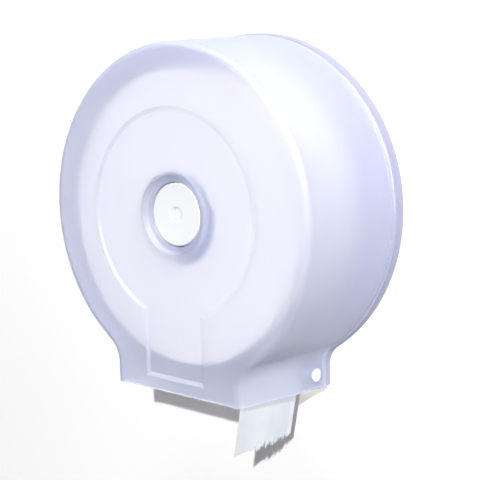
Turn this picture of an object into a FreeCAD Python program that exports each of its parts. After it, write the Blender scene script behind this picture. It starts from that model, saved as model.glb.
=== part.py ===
import FreeCAD, Part
import math
import os
import re

import Sketcher

# Jumbo toilet roll dispenser, wall hung. Every sub-part is drawn lying on its back:
# x to the right, y up and z out from the wall. PLACE_ON_WALL then stands it up,
# so that in the finished part +Z is up, the wall is the plane y = 0 and the front faces -Y.
# The origin is on the roll spindle's axis, in the plane of the wall.

SIZES = {
    # Front cover: drum with a throat below it, all walls drafted
    "face_depth": 119.5,
    "seam_depth": 9.3,
    "seam_gap": 0.3,
    "cover_wall": 2.2,
    "front_radius": 141.6,
    "drum_flare": 7.6,
    "throat_front_half": 69.9,
    "throat_flare": 9.3,
    "throat_reach": 11.4,
    "bottom_flare": 7.5,
    "neck_radius": 22.0,
    "edge_round": 6.0,
    "recess_radius": 88.0,
    "recess_depth": 1.5,
    "recess_slope": 3.5,
    "tongue_half": 31.5,
    "tongue_margin": 13.0,
    "dish_ledge": 4.3,
    "dish_flare": 1.6,
    "dish_depth": 7.1,
    "dish_floor": 2.0,
    "eye_gap": 1.2,
    "tooth_pitch": 3.4,
    "tooth_height": 1.7,
    "line_offset": 4.4,
    "line_width": 0.9,
    "line_sink": 0.45,
    # Hinge at the throat's rear corners
    "hinge_setback": 13.1,
    "hinge_rise": 14.3,
    "pin_radius": 3.2,
    "pin_head_radius": 6.0,
    "pin_head_height": 1.6,
    "pin_head_proud": 0.5,
    "pin_tail": 1.1,
    "pin_dimple_radius": 1.6,
    "pin_dimple_depth": 0.5,
    "head_gap": 0.15,
    "boss_wall": 2.35,
    "boss_proud": 3.4,
    "washer_rim": 2.8,
    "washer_thick": 0.8,
    "ear_thick": 4.5,
    "ear_wall": 4.0,
    "clip_rim": 2.0,
    "clip_thick": 0.9,
    "running_gap": 0.06,
    "side_gap": 0.1,
    # Back plate
    "plate_proud": 1.2,
    "plate_draft": 0.6,
    "plate_side_gap": 2.1,
    "plate_side_draft": 3.1,
    "plate_bottom_gap": 0.3,
    "plate_thick": 3.0,
    "rim_width": 6.6,
    "spigot_wall": 2.4,
    "spigot_height": 5.0,
    "spigot_gap": 0.6,
    "spigot_end_drop": 70.0,
    "seat_margin": 2.0,
    "seat_height": 5.0,
    "rib_height": 3.0,
    "rib_wide": 2.4,
    "rib_ring_radius": 98.0,
    "wall_hole_radius": 2.75,
    "wall_hole_across": 120.0,
    "wall_hole_up": 124.0,
    "wall_boss_radius": 8.0,
    # Sleeve that suits the roll's wide core, and the hub post that it turns on
    "core_slack": 4.1,
    "post_inset": 8.7,
    "hub_wall": 2.5,
    "hub_flange_wide": 20.0,
    "hub_flange_thick": 3.0,
    "nose_length": 6.5,
    "nose_step": 2.8,
    "hub_screw_inset": 5.4,
    "hub_screw_radius": 1.75,
    "hub_screw_head_radius": 3.0,
    "hub_screw_head_height": 1.9,
    "hub_screw_length": 9.0,
    "hub_washer_radius": 3.7,
    "hub_washer_thick": 0.5,
    "adaptor_wall": 2.2,
    "adaptor_gap": 0.2,
    "adaptor_shoulder": 7.5,
    # Spindle cap with the lock inside it
    "cap_sink": 0.8,
    "cap_height": 17.5,
    "cap_lip": 0.9,
    "cap_thick": 2.0,
    "cap_round": 0.7,
    "skirt_wall": 2.2,
    "skirt_gap": 0.1,
    "cap_screw_rise": 3.2,
    "small_screw_radius": 1.25,
    "small_screw_head_radius": 2.6,
    "small_screw_head_height": 1.4,
    "cap_screw_length": 3.3,
    "keeper_screw_length": 6.0,
    "keeper_boss_radius": 3.5,
    "keeper_boss_inset": 3.8,
    "keeper_thick": 2.0,
    "barrel_radius": 5.6,
    "barrel_gap": 0.15,
    "barrel_sink": 0.7,
    "barrel_rim_wide": 1.2,
    "barrel_flange_wide": 1.9,
    "barrel_flange_thick": 1.6,
    "wave_washer_thick": 0.5,
    "key_pin_radius": 1.3,
    "key_pin_inset": 1.9,
    "key_pin_depth": 2.0,
    "key_slot_depth": 1.0,
    "key_slot_wide": 1.6,
    "crank_pin_radius": 1.5,
    "bolt_travel": 5.0,
    "bolt_wide": 16.0,
    "bolt_set_in": 0.5,
    "bolt_tip_start": 10.0,
    "bolt_tail": 7.5,
    "bolt_thick": 2.5,
    "bolt_gap": 0.2,
    "slot_gap": 0.3,
    "guide_wide": 2.0,
    # Paper roll on its cardboard core
    "core_inner_radius": 38.8,
    "core_wall": 1.8,
    "roll_side_gap": 15.4,
    "roll_front_gap": 8.3,
    "roll_back_gap": 16.5,
    "core_gap": 0.1,
    "hang_gap": 0.3,
    # Loose end of the paper
    "tail_thick": 0.4,
    "tail_wave": 0.55,
    "tail_lift": 1.3,
    "tail_gap": 6.0,
    "tail_kink_drop": 4.0,
    "tail_hang": 50.0,
    "tail_lean": 8.0,
    # One overrun for every cut, and how near two corners count as level
    "overrun": 1.0,
    "level_match": 0.001,
}

# Places worked out from the sizes above, all measured in the drawing frame
PLACES = {
    "rear_radius": "front_radius + drum_flare",
    "throat_rear_half": "throat_front_half + throat_flare",
    "throat_front_drop": "front_radius + throat_reach",
    "throat_rear_drop": "throat_front_drop + bottom_flare",
    "tongue_drop": "throat_front_drop - tongue_margin",
    "cover_rear": "seam_depth + seam_gap",
    "recess_floor": "face_depth - recess_depth",
    "inner_face": "face_depth - cover_wall",
    "inner_recess": "inner_face - recess_depth",
    "dish_face": "face_depth - dish_depth",
    "dish_back": "dish_face - dish_floor",
    "wall_lean": "throat_flare / (face_depth - seam_depth)",
    "bottom_lean": "bottom_flare / (face_depth - seam_depth)",
    "drum_lean": "drum_flare / (face_depth - seam_depth)",
    "line_depth": "cover_rear + line_offset",
    "line_radius": "rear_radius - line_offset * drum_lean - line_sink",
    "line_half": "throat_rear_half - line_offset * wall_lean - line_sink",
    "adaptor_radius": "core_inner_radius - core_slack",
    "post_radius": "adaptor_radius - post_inset",
    "nose_radius": "post_radius - nose_step",
    "skirt_inner": "nose_radius + skirt_gap",
    "skirt_radius": "skirt_inner + skirt_wall",
    "cap_radius": "skirt_radius + cap_lip",
    "eye_radius": "cap_radius + eye_gap",
    "dish_radius": "eye_radius + dish_ledge",
    "hub_flange_radius": "post_radius + hub_flange_wide",
    "hub_screw_circle": "hub_flange_radius - hub_screw_inset",
    "seat_radius": "hub_flange_radius + seat_margin",
    "hinge_depth": "seam_depth + hinge_setback",
    "hinge_drop": "throat_rear_drop - hinge_rise",
    "hinge_wall": "throat_rear_half - hinge_setback * wall_lean",
    "boss_radius": "pin_head_radius + head_gap + boss_wall",
    "washer_radius": "pin_radius + washer_rim",
    "ear_radius": "pin_radius + ear_wall",
    "clip_radius": "pin_radius + clip_rim",
    "head_outer": "hinge_wall + pin_head_proud",
    "head_seat": "head_outer - pin_head_height",
    "boss_inner": "hinge_wall - cover_wall - boss_proud",
    "ear_outer": "boss_inner - washer_thick - 2 * side_gap",
    "ear_inner": "ear_outer - ear_thick",
    "pin_end": "ear_inner - side_gap - clip_thick - pin_tail",
    "plate_front_radius": "rear_radius + plate_proud",
    "plate_radius": "plate_front_radius + plate_draft",
    "plate_half": "throat_rear_half - plate_side_gap",
    "plate_front_half": "plate_half - plate_side_draft",
    "plate_drop": "throat_rear_drop - plate_bottom_gap",
    "spigot_radius": "rear_radius - cover_wall - spigot_gap",
    "seat_depth": "plate_thick + seat_height",
    "flange_depth": "seat_depth + hub_flange_thick",
    "screw_seat": "flange_depth + hub_washer_thick",
    "rib_depth": "plate_thick + rib_height",
    "cap_front_depth": "dish_face - cap_sink",
    "cap_rear": "cap_front_depth - cap_thick",
    "skirt_rear": "cap_front_depth - cap_height",
    "nose_ledge_depth": "skirt_rear - skirt_gap",
    "nose_depth": "nose_ledge_depth + nose_length",
    "cap_screw_depth": "nose_ledge_depth + cap_screw_rise",
    "cap_head_seat": "skirt_radius - small_screw_head_height - head_gap / 2",
    "keeper_screw_place": "skirt_inner - keeper_boss_radius - keeper_boss_inset",
    "barrel_seat": "cap_rear - wave_washer_thick - 2 * side_gap",
    "barrel_rear": "barrel_seat - barrel_flange_thick",
    "barrel_flange_radius": "barrel_radius + barrel_flange_wide",
    "barrel_face": "cap_front_depth - barrel_sink",
    "key_pin_place": "barrel_radius - key_pin_inset",
    "bolt_front": "barrel_rear - bolt_gap",
    "bolt_rear": "bolt_front - bolt_thick",
    "bolt_reach": "skirt_radius - bolt_set_in",
    "guide_length": "skirt_inner - bolt_tip_start - guide_wide / 2",
    "keeper_front": "bolt_rear - bolt_gap",
    "keeper_rear": "keeper_front - keeper_thick",
    "crank_place": "bolt_travel / 2",
    "crank_throw": "crank_place / cos(45deg)",
    "crank_pin_height": "bolt_gap + bolt_thick - side_gap",
    "adaptor_rear": "flange_depth + adaptor_gap",
    "adaptor_front": "nose_ledge_depth - adaptor_gap",
    "adaptor_bore": "post_radius + adaptor_gap",
    "adaptor_lip": "adaptor_bore + adaptor_wall / 2",
    "shoulder_inner": "adaptor_front - adaptor_shoulder - adaptor_wall / 2",
    "core_radius": "core_inner_radius + core_wall",
    "roll_drop": "core_slack - hang_gap",
    "roll_radius": "front_radius - cover_wall - roll_side_gap",
    "roll_front_depth": "inner_recess - roll_front_gap",
    "roll_rear": "flange_depth + roll_back_gap",
    "roll_width": "roll_front_depth - roll_rear",
}

# An arc takes this share of the shorter run beside it; a screw's cross recess, shares of its shank's radius
ARC_SHARE = 0.45
CROSS_LONG_SHARE = 1.2
CROSS_WIDE_SHARE = 0.35
TAIL_WAVES = 5
RADIAL_RIBS = 8
HUB_SCREWS = 4
# The key way leans to the left by this many degrees
KEY_LEAN = 20

doc = FreeCAD.newDocument("jumbo_roll_dispenser")
sizes = doc.addObject("Spreadsheet::Sheet", "sizes")
places = doc.addObject("Spreadsheet::Sheet", "places")


def formula(text):
    """Write the sheet's name before each size or place that the formula uses."""
    def with_sheet(word):
        if word.group() in SIZES:
            return "sizes." + word.group()
        if word.group() in PLACES:
            return "places." + word.group()
        return word.group()
    return re.sub(r"[a-z][a-z_]*", with_sheet, text)


def fill_sheets():
    for row, (alias, number) in enumerate(SIZES.items(), start=1):
        sizes.set(f"A{row}", alias.replace("_", " "))
        sizes.set(f"B{row}", str(number))
        sizes.setAlias(f"B{row}", alias)
    doc.recompute()
    for row, (alias, text) in enumerate(PLACES.items(), start=1):
        places.set(f"A{row}", alias.replace("_", " "))
        places.setAlias(f"B{row}", alias)
        places.set(f"B{row}", "=" + formula(text).replace("places.", ""))
    doc.recompute()


def mm(alias):
    """Number in a sheet cell, for the shapes that are set in code."""
    sheet = sizes if alias in SIZES else places
    return float(getattr(sheet, alias))


fill_sheets()

PLACE_ON_WALL = FreeCAD.Placement(
    FreeCAD.Vector(0, 0, 0),
    FreeCAD.Rotation(FreeCAD.Vector(1, 0, 0), 90),
)
AXIS_ROTATIONS = {
    "x": FreeCAD.Rotation(FreeCAD.Vector(0, 1, 0), 90),
    "y": FreeCAD.Rotation(FreeCAD.Vector(1, 0, 0), -90),
    "z": FreeCAD.Rotation(),
}
sub_parts = []


def place(item, x="0", y="0", z="0", along="z"):
    """Put an object at a place given by formulas, its own z axis along x, y or z."""
    item.Placement = FreeCAD.Placement(FreeCAD.Vector(0, 0, 0), AXIS_ROTATIONS[along])
    for letter, text in (("x", x), ("y", y), ("z", z)):
        if text != "0":
            item.setExpression(f"Placement.Base.{letter}", formula(text))
    return item


def rod(name, radius, length, x="0", y="0", z="0", along="z"):
    item = doc.addObject("Part::Cylinder", name)
    item.setExpression("Radius", formula(radius))
    item.setExpression("Height", formula(length))
    return place(item, x, y, z, along)


def taper(name, first_radius, last_radius, length, x="0", y="0", z="0", along="z"):
    item = doc.addObject("Part::Cone", name)
    item.setExpression("Radius1", formula(first_radius))
    item.setExpression("Radius2", formula(last_radius))
    item.setExpression("Height", formula(length))
    return place(item, x, y, z, along)


def block(name, width, height, depth, x="0", y="0", z="0"):
    """Box with its low corner at x, y, z."""
    item = doc.addObject("Part::Box", name)
    item.setExpression("Length", formula(width))
    item.setExpression("Width", formula(height))
    item.setExpression("Height", formula(depth))
    return place(item, x, y, z)


def join(name, pieces):
    item = doc.addObject("Part::MultiFuse", name)
    item.Shapes = pieces
    item.Refine = True
    return item


def cut(name, base, tools):
    item = doc.addObject("Part::Cut", name)
    item.Base = base
    item.Tool = tools[0] if len(tools) == 1 else join(name + "_tools", tools)
    return item


def together(name, pieces):
    """Identical loose pieces that share one node."""
    item = doc.addObject("Part::Compound", name)
    item.Links = pieces
    return item


def sub_part(item, label):
    item.Label = label
    item.Placement = PLACE_ON_WALL
    sub_parts.append(item)
    return item


def turned(name, points):
    """Body turned about the z axis from its half section, given as (radius, depth) formulas."""
    body = doc.addObject("PartDesign::Body", name)
    sketch = body.newObject("Sketcher::SketchObject", name + "_section")
    plane = [face for face in body.Origin.OriginFeatures if face.Role == "XZ_Plane"][0]
    sketch.AttachmentSupport = [(plane, "")]
    sketch.MapMode = "FlatFace"
    numbers = [(mm_of(radius), mm_of(depth)) for radius, depth in points]
    for index, (radius, depth) in enumerate(numbers):
        next_radius, next_depth = numbers[(index + 1) % len(numbers)]
        sketch.addGeometry(Part.LineSegment(
            FreeCAD.Vector(radius, depth, 0), FreeCAD.Vector(next_radius, next_depth, 0)))
    for index, (radius, depth) in enumerate(points):
        following = (index + 1) % len(points)
        sketch.addConstraint(Sketcher.Constraint("Coincident", index, 2, following, 1))
        for kind, text, number, axis in (
                ("DistanceX", radius, numbers[index][0], -2),
                ("DistanceY", depth, numbers[index][1], -1)):
            if text == "0":
                sketch.addConstraint(Sketcher.Constraint("PointOnObject", index, 1, axis))
            else:
                made = sketch.addConstraint(Sketcher.Constraint(kind, -1, 1, index, 1, number))
                sketch.setExpression(f"Constraints[{made}]", formula(text))
    turn = body.newObject("PartDesign::Revolution", name + "_turned")
    turn.Profile = sketch
    turn.ReferenceAxis = (sketch, ["V_Axis"])
    turn.Angle = 360
    body.Tip = turn
    return body


def mm_of(text):
    """Number of a formula that is a plain sum of sizes and places."""
    total = 0
    for sign, times, word in re.findall(r"([+-]?)\s*(?:(\d) \*\s*)?([a-z_]+)", text):
        number = mm(word) * int(times or 1)
        total += -number if sign == "-" else number
    return total


# Outline of the drum and throat: a big arc, two neck arcs, two sides and the bottom

def neck_height(big, side, small):
    """Height at which a neck arc meets the throat's straight side."""
    return -math.sqrt((big + small) ** 2 - (side + small) ** 2)


def outline(name, radius, half, drop, neck, depth):
    sketch = doc.addObject("Sketcher::SketchObject", name)
    place(sketch, z=depth)
    big = mm_of(radius)
    side = mm_of(half)
    low = mm_of(drop)
    small = mm_of(neck)
    neck_y = neck_height(big, side, small)
    lean = math.atan2(-neck_y, side + small)
    up = FreeCAD.Vector(0, 0, 1)
    right_centre = FreeCAD.Vector(side + small, neck_y, 0)
    left_centre = FreeCAD.Vector(-side - small, neck_y, 0)
    sketch.addGeometry(Part.ArcOfCircle(
        Part.Circle(FreeCAD.Vector(0, 0, 0), up, big), -lean, math.pi + lean))
    sketch.addGeometry(Part.ArcOfCircle(Part.Circle(left_centre, up, small), 0, lean))
    sketch.addGeometry(Part.LineSegment(
        FreeCAD.Vector(-side, neck_y, 0), FreeCAD.Vector(-side, -low, 0)))
    sketch.addGeometry(Part.LineSegment(
        FreeCAD.Vector(-side, -low, 0), FreeCAD.Vector(side, -low, 0)))
    sketch.addGeometry(Part.LineSegment(
        FreeCAD.Vector(side, -low, 0), FreeCAD.Vector(side, neck_y, 0)))
    sketch.addGeometry(Part.ArcOfCircle(
        Part.Circle(right_centre, up, small), math.pi - lean, math.pi))
    rules = [
        ("Coincident", 0, 3, -1, 1),
        ("Tangent", 0, 2, 1, 2),
        ("Tangent", 1, 1, 2, 1),
        ("Coincident", 2, 2, 3, 1),
        ("Coincident", 3, 2, 4, 1),
        ("Tangent", 4, 2, 5, 2),
        ("Tangent", 5, 1, 0, 1),
        ("Equal", 1, 5),
        ("Vertical", 2),
        ("Vertical", 4),
        ("Symmetric", 3, 1, 3, 2, -2),
    ]
    for rule in rules:
        sketch.addConstraint(Sketcher.Constraint(*rule))
    driven = [
        (("Radius", 0, big), radius),
        (("Radius", 1, small), neck),
        (("DistanceX", -1, 1, 3, 2, side), half),
        (("DistanceY", 3, 2, -1, 1, low), drop),
    ]
    for rule, text in driven:
        made = sketch.addConstraint(Sketcher.Constraint(*rule))
        sketch.setExpression(f"Constraints[{made}]", formula(text))
    return sketch


def loft(name, sections):
    item = doc.addObject("Part::Loft", name)
    item.Sections = sections
    item.Solid = True
    item.Ruled = True
    return item


def extrude(name, sketch, length):
    item = doc.addObject("Part::Extrusion", name)
    item.Base = sketch
    item.DirMode = "Normal"
    item.Solid = True
    item.setExpression("LengthFwd", formula(length))
    return item


def round_front(name, base, depth, radius):
    """Round the edge of the front face, all but its bottom line."""
    doc.recompute()
    near = mm("level_match")
    lowest = min(corner.Y for corner in base.Shape.Vertexes if abs(corner.Z - depth) < near)
    chosen = []
    for index, edge in enumerate(base.Shape.Edges, start=1):
        at_front = all(abs(corner.Z - depth) < near for corner in edge.Vertexes)
        at_bottom = all(abs(corner.Y - lowest) < near for corner in edge.Vertexes)
        if at_front and not at_bottom:
            chosen.append((index, radius, radius))
    item = doc.addObject("Part::Fillet", name)
    item.Base = base
    item.Edges = chosen
    return item


# Front cover

def tooth_row(name, start, step, count, across):
    """Triangular gaps between the teeth of one edge, as one blade cut through the wall."""
    height = mm("tooth_height")
    below = mm("overrun")
    down = FreeCAD.Vector(0, -1, 0)
    corners = [start + down * below]
    for index in range(count):
        left = start + step * index
        corners.append(left)
        corners.append(left + step / 2 - down * height)
    corners.append(start + step * count)
    corners.append(start + step * count + down * below)
    corners.append(corners[0])
    blade = Part.Face(Part.makePolygon(corners)).extrude(across)
    item = doc.addObject("Part::Feature", name)
    item.Shape = blade
    return item


def cover_teeth():
    """Sawteeth along the throat's front edge and both its side edges."""
    pitch = mm("tooth_pitch")
    wall = mm("cover_wall")
    spare = mm("overrun")
    front_half = mm("throat_front_half") - mm("edge_round")
    front_count = int(2 * front_half / pitch)
    front_depth = mm("inner_face") - spare
    start = FreeCAD.Vector(-front_count * pitch / 2, -mm("throat_front_drop"), front_depth)
    rows = [tooth_row(
        "front_tooth_gaps", start, FreeCAD.Vector(pitch, 0, 0), front_count,
        FreeCAD.Vector(0, 0, wall + 2 * spare))]
    side_start = mm("cover_rear") + mm("boss_radius")
    side_end = mm("face_depth") - mm("edge_round")
    side_count = int((side_end - side_start) / pitch)
    lean = mm("bottom_lean")
    first_depth = side_end - side_count * pitch
    first_y = -mm("throat_front_drop") - (mm("face_depth") - first_depth) * lean
    inner_x = mm("throat_front_half") - wall - spare
    reach = mm("throat_rear_half") + spare - inner_x
    for side in (-1, 1):
        start = FreeCAD.Vector(side * inner_x, first_y, first_depth)
        step = FreeCAD.Vector(0, lean * pitch, pitch)
        rows.append(tooth_row(
            "right_tooth_gaps" if side > 0 else "left_tooth_gaps", start, step, side_count,
            FreeCAD.Vector(side * reach, 0, 0)))
    return rows


def keyhole_face(name, radius, half, drop, start, depth):
    """Disc that runs down into a straight tongue."""
    return join(name, [
        rod(name + "_disc", radius, depth, z=start),
        block(name + "_tongue", f"2 * ({half})", drop, depth, x=f"-({half})", y=f"-({drop})", z=start),
    ])


def recess():
    """Round recess that runs down into a tongue, its walls sloped outwards to the face."""
    depth = "recess_depth + overrun"
    spread = "recess_slope * (recess_depth + overrun) / recess_depth"
    half = "tongue_half - recess_slope / 2"
    drop = "tongue_drop - recess_slope / 2"
    disc = taper("recess_disc", "recess_radius - recess_slope / 2",
                 f"recess_radius - recess_slope / 2 + {spread}", depth, z="recess_floor")
    tongue = doc.addObject("Part::Wedge", "recess_tongue")
    tongue.Ymin = tongue.Zmin = tongue.Z2min = 0
    for side, text in (
            ("Xmin", f"-({half})"), ("Xmax", half), ("Zmax", drop), ("Ymax", depth),
            ("X2min", f"-({half}) - {spread}"), ("X2max", f"{half} + {spread}"),
            ("Z2max", f"{drop} + {spread}")):
        tongue.setExpression(side, formula(text))
    tongue.Placement = PLACE_ON_WALL
    tongue.setExpression("Placement.Base.z", formula("recess_floor"))
    return join("recess", [disc, tongue])


def seam_line():
    """Shallow line round the outside, a little in front of the seam."""
    band = extrude("line_band", outline(
        "line_band_edge", "rear_radius + overrun", "throat_rear_half + overrun",
        "throat_rear_drop + overrun", "neck_radius", "line_depth"), "line_width")
    inside = extrude("line_inside", outline(
        "line_inside_edge", "line_radius", "line_half", "throat_rear_drop + 2 * overrun",
        "neck_radius + line_sink", "line_depth - overrun"), "line_width + 2 * overrun")
    return cut("line_groove", band, [inside])


def front_cover():
    outer = loft("cover_outer", [
        outline("cover_outer_rear", "rear_radius", "throat_rear_half", "throat_rear_drop",
                "neck_radius", "cover_rear"),
        outline("cover_outer_front", "front_radius", "throat_front_half", "throat_front_drop",
                "neck_radius", "face_depth"),
    ])
    rounded = round_front("cover_outer_rounded", outer, mm("face_depth"), mm("edge_round"))
    inner = loft("cover_inner", [
        outline("cover_inner_rear", "rear_radius - cover_wall", "throat_rear_half - cover_wall",
                "throat_rear_drop + overrun", "neck_radius + cover_wall", "cover_rear"),
        outline("cover_inner_front", "front_radius - cover_wall",
                "throat_front_half - cover_wall", "throat_front_drop + overrun",
                "neck_radius + cover_wall", "inner_face"),
    ])
    inner_round = mm("edge_round") - mm("cover_wall")
    hollow = round_front("cover_inner_rounded", inner, mm("inner_face"), inner_round)
    shell = cut("cover_shell", rounded, [hollow])
    step_back = keyhole_face(
        "recess_back", "recess_radius + cover_wall", "tongue_half + cover_wall",
        "tongue_drop + cover_wall", "inner_recess", "recess_depth + overrun")
    dish_cup = rod("dish_cup", "dish_radius + dish_flare + cover_wall",
                   "inner_face - dish_back", z="dish_back")
    bosses = []
    boss_height = "boss_proud + cover_wall / 2"
    for side in ("left", "right"):
        start = "boss_inner" if side == "right" else f"-(boss_inner) - ({boss_height})"
        bosses.append(rod(f"hinge_boss_{side}", "boss_radius", boss_height,
                          x=start, y="-hinge_drop", z="hinge_depth", along="x"))
    solid = join("cover_solid", [shell, step_back, dish_cup] + bosses)
    tools = [
        recess(),
        seam_line(),
        taper("dish", "dish_radius", "dish_radius + dish_flare", "dish_depth", z="dish_face"),
        rod("eye", "eye_radius", "dish_depth + dish_floor", z="dish_back - overrun"),
    ]
    for side in ("left", "right"):
        seat_start = "head_seat" if side == "right" else "-(head_seat) - pin_head_height - overrun"
        bore_start = "boss_inner - overrun" if side == "right" else "-(head_seat) - overrun"
        tools.append(rod(f"head_seat_{side}", "pin_head_radius + head_gap",
                         "pin_head_height + overrun", x=seat_start,
                         y="-hinge_drop", z="hinge_depth", along="x"))
        tools.append(rod(f"pin_bore_{side}", "pin_radius + running_gap",
                         "head_seat - boss_inner + 2 * overrun", x=bore_start,
                         y="-hinge_drop", z="hinge_depth", along="x"))
    tools += cover_teeth()
    return sub_part(cut("cover_cut", solid, tools), "front_cover")


# Back plate

def ring(name, outer, inner, start, depth):
    return cut(name, rod(name + "_outer", outer, depth, z=start),
               [rod(name + "_inner", inner, f"{depth} + 2 * overrun", z=f"{start} - overrun")])


def back_plate():
    slab = loft("plate_slab", [
        outline("plate_rear_edge", "plate_radius", "plate_half", "plate_drop", "neck_radius", "0"),
        outline("plate_front_edge", "plate_front_radius", "plate_front_half", "plate_drop",
                "neck_radius", "seam_depth"),
    ])
    tray = extrude("plate_tray", outline(
        "plate_tray_edge", "plate_front_radius - rim_width", "plate_front_half - rim_width",
        "plate_drop - rim_width", "neck_radius + rim_width", "plate_thick"), "seam_depth")
    pan = cut("plate_pan", slab, [tray])
    spigot = cut("spigot_arc", ring(
        "spigot", "spigot_radius", "spigot_radius - spigot_wall",
        "seam_depth - rib_height", "spigot_height + rib_height"), [block(
            "spigot_opening", "2 * plate_radius", "plate_radius", "face_depth",
            x="-plate_radius", y="-spigot_end_drop - plate_radius")])
    pieces = [pan, spigot]
    pieces.append(rod("hub_seat", "seat_radius", "seat_height + overrun",
                      z="plate_thick - overrun"))
    pieces.append(ring("rib_ring", "rib_ring_radius + rib_wide", "rib_ring_radius",
                       "plate_thick - overrun", "rib_height + overrun"))
    for index in range(RADIAL_RIBS):
        rib = block(f"radial_rib_{index}", "plate_front_radius - rim_width - seat_radius + 2 * overrun",
                    "rib_wide", "rib_height + overrun")
        angle = 360 / RADIAL_RIBS * (index + 0.5)
        spin = FreeCAD.Rotation(FreeCAD.Vector(0, 0, 1), angle)
        rib.Placement = FreeCAD.Placement(FreeCAD.Vector(0, 0, 0), spin)
        turn = f"{angle}deg"
        rib.setExpression("Placement.Base.x", formula(
            f"(seat_radius - overrun) * cos({turn}) + rib_wide / 2 * sin({turn})"))
        rib.setExpression("Placement.Base.y", formula(
            f"(seat_radius - overrun) * sin({turn}) - rib_wide / 2 * cos({turn})"))
        rib.setExpression("Placement.Base.z", formula("plate_thick - overrun"))
        pieces.append(rib)
    tools = []
    for side, sign in (("left", "-"), ("right", "")):
        start = "ear_inner" if side == "right" else "-(ear_outer)"
        pieces.append(block(f"ear_{side}", "ear_thick", "2 * ear_radius", "hinge_depth - plate_thick",
                            x=start, y="-hinge_drop - ear_radius", z="plate_thick"))
        pieces.append(rod(f"ear_end_{side}", "ear_radius", "ear_thick", x=start,
                          y="-hinge_drop", z="hinge_depth", along="x"))
        tools.append(rod(f"ear_bore_{side}", "pin_radius + running_gap", "ear_thick + 2 * overrun",
                         x=f"{start} - overrun", y="-hinge_drop", z="hinge_depth", along="x"))
        for level, up in (("low", "-"), ("high", "")):
            spot = {"x": f"{sign}wall_hole_across / 2", "y": f"{up}wall_hole_up / 2"}
            pieces.append(rod(f"wall_boss_{side}_{level}", "wall_boss_radius",
                              "rib_height + overrun", z="plate_thick - overrun", **spot))
            tools.append(rod(f"wall_hole_{side}_{level}", "wall_hole_radius",
                             "rib_depth + 2 * overrun", z="-overrun", **spot))
    for index in range(HUB_SCREWS):
        spot = hub_screw_place(index)
        tools.append(rod(f"seat_bore_{index}", "hub_screw_radius + running_gap",
                         "hub_screw_length - hub_flange_thick + overrun",
                         z="flange_depth - hub_screw_length - overrun", **spot))
    return sub_part(cut("plate_cut", join("plate_solid", pieces), tools), "back_plate")


# Hub and its screws

def hub_screw_place(index):
    turn = f"{360 / HUB_SCREWS * index}deg"
    return {"x": f"hub_screw_circle * cos({turn})", "y": f"hub_screw_circle * sin({turn})"}


def spindle_hub():
    body = turned("hub_body", [
        ("hub_flange_radius", "seat_depth"),
        ("hub_flange_radius", "flange_depth"),
        ("post_radius", "flange_depth"),
        ("post_radius", "nose_ledge_depth"),
        ("nose_radius", "nose_ledge_depth"),
        ("nose_radius", "nose_depth"),
        ("nose_radius - hub_wall", "nose_depth"),
        ("nose_radius - hub_wall", "nose_ledge_depth - hub_wall"),
        ("post_radius - hub_wall", "nose_ledge_depth - hub_wall"),
        ("post_radius - hub_wall", "seat_depth"),
    ])
    tools = []
    for index in range(HUB_SCREWS):
        tools.append(rod(f"flange_hole_{index}", "hub_screw_radius + running_gap",
                         "hub_flange_thick + 2 * overrun", z="seat_depth - overrun",
                         **hub_screw_place(index)))
    tools.append(rod("nose_holes", "small_screw_radius + running_gap", "2 * nose_radius + 2 * overrun",
                     x="-nose_radius - overrun", z="cap_screw_depth", along="x"))
    return sub_part(cut("hub_cut", body, tools), "spindle_hub")


def cross_slots(name, wide, deep, x, y, z, along):
    """Cross recess in a screw head, from its middle out to both sides."""
    bars = []
    shares = ((CROSS_LONG_SHARE, CROSS_WIDE_SHARE), (CROSS_WIDE_SHARE, CROSS_LONG_SHARE))
    for number, (long_side, short_side) in enumerate(shares):
        bar = doc.addObject("Part::Box", f"{name}_bar_{number}")
        bar.setExpression("Length", formula(f"{long_side} * {wide}"))
        bar.setExpression("Width", formula(f"{short_side} * {wide}"))
        bar.setExpression("Height", formula(deep))
        bars.append(bar)
        half_long = f"{long_side} * {wide} / 2"
        half_short = f"{short_side} * {wide} / 2"
        if along == "z":
            place(bar, f"{x} - {half_long}", f"{y} - {half_short}", z, along)
        else:
            place(bar, x, f"{y} - {half_short}", f"{z} + {half_long}", along)
    return bars


def hub_screws():
    screws = []
    for index in range(HUB_SCREWS):
        spot = hub_screw_place(index)
        head = rod(f"hub_screw_head_{index}", "hub_screw_head_radius", "hub_screw_head_height",
                   z="screw_seat", **spot)
        shank = rod(f"hub_screw_shank_{index}", "hub_screw_radius", "hub_screw_length + overrun",
                    z="screw_seat - hub_screw_length", **spot)
        slots = cross_slots(f"hub_screw_{index}", "hub_screw_radius",
                            "hub_screw_head_height / 2 + overrun", spot["x"], spot["y"],
                            "screw_seat + hub_screw_head_height / 2", "z")
        screws.append(cut(f"hub_screw_{index}", join(f"hub_screw_blank_{index}", [head, shank]), slots))
    return sub_part(together("hub_screw_set", screws), "hub_screws")


def hub_washers():
    washers = []
    for index in range(HUB_SCREWS):
        spot = hub_screw_place(index)
        disc = rod(f"hub_washer_disc_{index}", "hub_washer_radius", "hub_washer_thick",
                   z="flange_depth", **spot)
        bore = rod(f"hub_washer_bore_{index}", "hub_screw_radius + running_gap",
                   "hub_washer_thick + 2 * overrun", z="flange_depth - overrun", **spot)
        washers.append(cut(f"hub_washer_{index}", disc, [bore]))
    return sub_part(together("hub_washer_set", washers), "hub_washers")


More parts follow.
